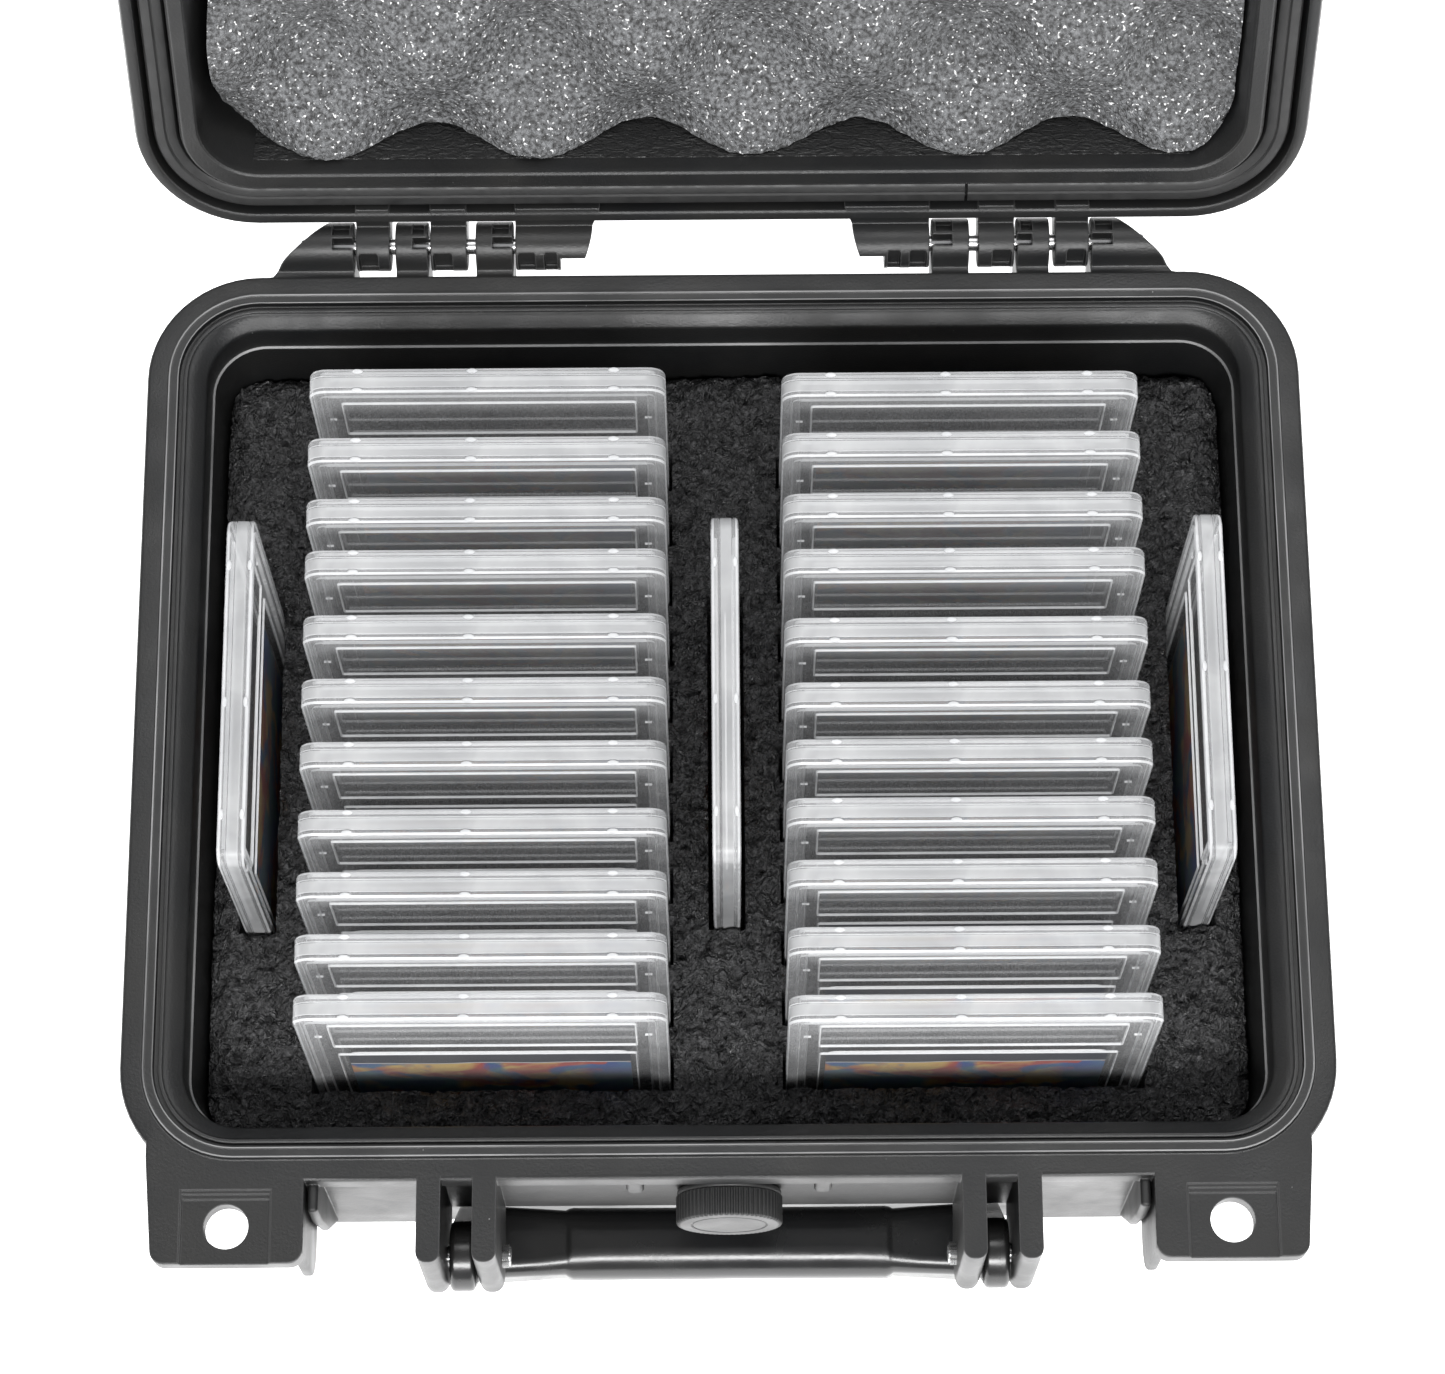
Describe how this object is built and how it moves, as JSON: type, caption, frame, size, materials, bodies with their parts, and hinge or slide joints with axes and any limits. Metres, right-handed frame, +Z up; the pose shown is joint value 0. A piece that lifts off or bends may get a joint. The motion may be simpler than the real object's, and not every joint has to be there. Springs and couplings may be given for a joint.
{
  "type": "card slab carry case",
  "caption": "Hard hinged carry case with an egg-crate foam lid and slotted foam that holds clear card slabs upright, with snap latches, a swing handle and a valve.",
  "frame": {"origin": "centre of the base's underside, on the surface it stands on, midway across the rim", "axes": "+Z up, +X to the right, +Y towards the hinges, so the handle, latches and valve face -Y"},
  "size_m": [0.2728, 0.3801, 0.3593],
  "materials": {
    "case_black": "fine moulded grain",
    "handle_black": "satin moulded",
    "seal_rubber": "smooth",
    "pin_steel": "bright",
    "foam_black": "closed-cell foam, cut face",
    "foam_grey": "open-cell foam, convoluted face",
    "slab_clear": "clear, frosted weld band"
  },
  "bodies": {
    "base": {"base_shell": "case_black", "base_foam": "foam_black", "base_foam_pad": "foam_black", "valve_housing": "handle_black", "valve_o_ring": "seal_rubber", "valve_nut": "handle_black", "hinge_pin_left": "pin_steel", "hinge_pin_right": "pin_steel", "handle_pin_left": "pin_steel", "handle_pin_right": "pin_steel"},
    "lid": {"lid_shell": "case_black", "lid_gasket": "seal_rubber", "lid_foam": "foam_grey", "latch_pin_left": "pin_steel", "latch_pin_right": "pin_steel"},
    "latch_left": {"latch_left": "handle_black"},
    "latch_right": {"latch_right": "handle_black"},
    "handle": {"handle": "handle_black"},
    "valve_knob": {"valve_knob": "handle_black"},
    "slab_left_01": {"slab_left_01": "slab_clear"},
    "slab_left_02": {"slab_left_02": "slab_clear"},
    "slab_left_03": {"slab_left_03": "slab_clear"},
    "slab_left_04": {"slab_left_04": "slab_clear"},
    "slab_left_05": {"slab_left_05": "slab_clear"},
    "slab_left_06": {"slab_left_06": "slab_clear"},
    "slab_left_07": {"slab_left_07": "slab_clear"},
    "slab_left_08": {"slab_left_08": "slab_clear"},
    "slab_left_09": {"slab_left_09": "slab_clear"},
    "slab_left_10": {"slab_left_10": "slab_clear"},
    "slab_left_11": {"slab_left_11": "slab_clear"},
    "slab_right_01": {"slab_right_01": "slab_clear"},
    "slab_right_02": {"slab_right_02": "slab_clear"},
    "slab_right_03": {"slab_right_03": "slab_clear"},
    "slab_right_04": {"slab_right_04": "slab_clear"},
    "slab_right_05": {"slab_right_05": "slab_clear"},
    "slab_right_06": {"slab_right_06": "slab_clear"},
    "slab_right_07": {"slab_right_07": "slab_clear"},
    "slab_right_08": {"slab_right_08": "slab_clear"},
    "slab_right_09": {"slab_right_09": "slab_clear"},
    "slab_right_10": {"slab_right_10": "slab_clear"},
    "slab_right_11": {"slab_right_11": "slab_clear"},
    "slab_side_left": {"slab_side_left": "slab_clear"},
    "slab_centre": {"slab_centre": "slab_clear"},
    "slab_side_right": {"slab_side_right": "slab_clear"}
  },
  "joints": [
    {"name": "lid_hinge", "type": "hinge", "parent": "base", "child": "lid", "pos_m": [0, 0.1166, 0.121], "axis": [-1, 0, 0], "range_deg": [-116, 0], "deforming": ["lid_foam"]},
    {"name": "latch_left_swing", "type": "hinge", "parent": "lid", "child": "latch_left", "pos_m": [-0.0798, 0.22959, 0.32301], "axis": [-1, 0, 0], "range_deg": [-60, 0]},
    {"name": "latch_right_swing", "type": "hinge", "parent": "lid", "child": "latch_right", "pos_m": [0.0798, 0.22959, 0.32301], "axis": [-1, 0, 0], "range_deg": [-60, 0]},
    {"name": "handle_swing", "type": "hinge", "parent": "base", "child": "handle", "pos_m": [0, -0.12, 0.091], "axis": [-1, 0, 0], "range_deg": [0, 110]},
    {"name": "valve_knob_turn", "type": "hinge", "parent": "base", "child": "valve_knob", "pos_m": [0, -0.1115, 0.099], "axis": [0, -1, 0], "range_deg": [0, 180]},
    {"name": "slab_left_01_lift", "type": "slide", "parent": "base", "child": "slab_left_01", "axis": [0, 0.0105, 0.9999], "range_m": [0, 0.08]},
    {"name": "slab_left_02_lift", "type": "slide", "parent": "base", "child": "slab_left_02", "axis": [0, -0.0122, 0.9999], "range_m": [0, 0.08]},
    {"name": "slab_left_03_lift", "type": "slide", "parent": "base", "child": "slab_left_03", "axis": [0, -0.0131, 0.9999], "range_m": [0, 0.08]},
    {"name": "slab_left_04_lift", "type": "slide", "parent": "base", "child": "slab_left_04", "axis": [0, 0.0113, 0.9999], "range_m": [0, 0.08]},
    {"name": "slab_left_05_lift", "type": "slide", "parent": "base", "child": "slab_left_05", "axis": [0, 0.0035, 1], "range_m": [0, 0.08]},
    {"name": "slab_left_06_lift", "type": "slide", "parent": "base", "child": "slab_left_06", "axis": [0, 0.0009, 1], "range_m": [0, 0.08]},
    {"name": "slab_left_07_lift", "type": "slide", "parent": "base", "child": "slab_left_07", "axis": [0, 0, 1], "range_m": [0, 0.08]},
    {"name": "slab_left_08_lift", "type": "slide", "parent": "base", "child": "slab_left_08", "axis": [0, -0.0105, 0.9999], "range_m": [0, 0.08]},
    {"name": "slab_left_09_lift", "type": "slide", "parent": "base", "child": "slab_left_09", "axis": [0, -0.0052, 1], "range_m": [0, 0.08]},
    {"name": "slab_left_10_lift", "type": "slide", "parent": "base", "child": "slab_left_10", "axis": [0, 0.0017, 1], "range_m": [0, 0.08]},
    {"name": "slab_left_11_lift", "type": "slide", "parent": "base", "child": "slab_left_11", "axis": [0, 0.0148, 0.9999], "range_m": [0, 0.08]},
    {"name": "slab_right_01_lift", "type": "slide", "parent": "base", "child": "slab_right_01", "axis": [0, -0.007, 1], "range_m": [0, 0.08]},
    {"name": "slab_right_02_lift", "type": "slide", "parent": "base", "child": "slab_right_02", "axis": [0, -0.007, 1], "range_m": [0, 0.08]},
    {"name": "slab_right_03_lift", "type": "slide", "parent": "base", "child": "slab_right_03", "axis": [0, -0.0079, 1], "range_m": [0, 0.08]},
    {"name": "slab_right_04_lift", "type": "slide", "parent": "base", "child": "slab_right_04", "axis": [0, 0.007, 1], "range_m": [0, 0.08]},
    {"name": "slab_right_05_lift", "type": "slide", "parent": "base", "child": "slab_right_05", "axis": [0, -0.0113, 0.9999], "range_m": [0, 0.08]},
    {"name": "slab_right_06_lift", "type": "slide", "parent": "base", "child": "slab_right_06", "axis": [0, -0.0166, 0.9999], "range_m": [0, 0.08]},
    {"name": "slab_right_07_lift", "type": "slide", "parent": "base", "child": "slab_right_07", "axis": [0, -0.0017, 1], "range_m": [0, 0.08]},
    {"name": "slab_right_08_lift", "type": "slide", "parent": "base", "child": "slab_right_08", "axis": [0, 0.0105, 0.9999], "range_m": [0, 0.08]},
    {"name": "slab_right_09_lift", "type": "slide", "parent": "base", "child": "slab_right_09", "axis": [0, 0.0166, 0.9999], "range_m": [0, 0.08]},
    {"name": "slab_right_10_lift", "type": "slide", "parent": "base", "child": "slab_right_10", "axis": [0, 0.0105, 0.9999], "range_m": [0, 0.08]},
    {"name": "slab_right_11_lift", "type": "slide", "parent": "base", "child": "slab_right_11", "axis": [0, 0.0052, 1], "range_m": [0, 0.08]},
    {"name": "slab_side_left_lift", "type": "slide", "parent": "base", "child": "slab_side_left", "axis": [0, 0, 1], "range_m": [0, 0.08]},
    {"name": "slab_centre_lift", "type": "slide", "parent": "base", "child": "slab_centre", "axis": [0, 0, 1], "range_m": [0, 0.08]},
    {"name": "slab_side_right_lift", "type": "slide", "parent": "base", "child": "slab_side_right", "axis": [0, 0, 1], "range_m": [0, 0.08]}
  ]
}
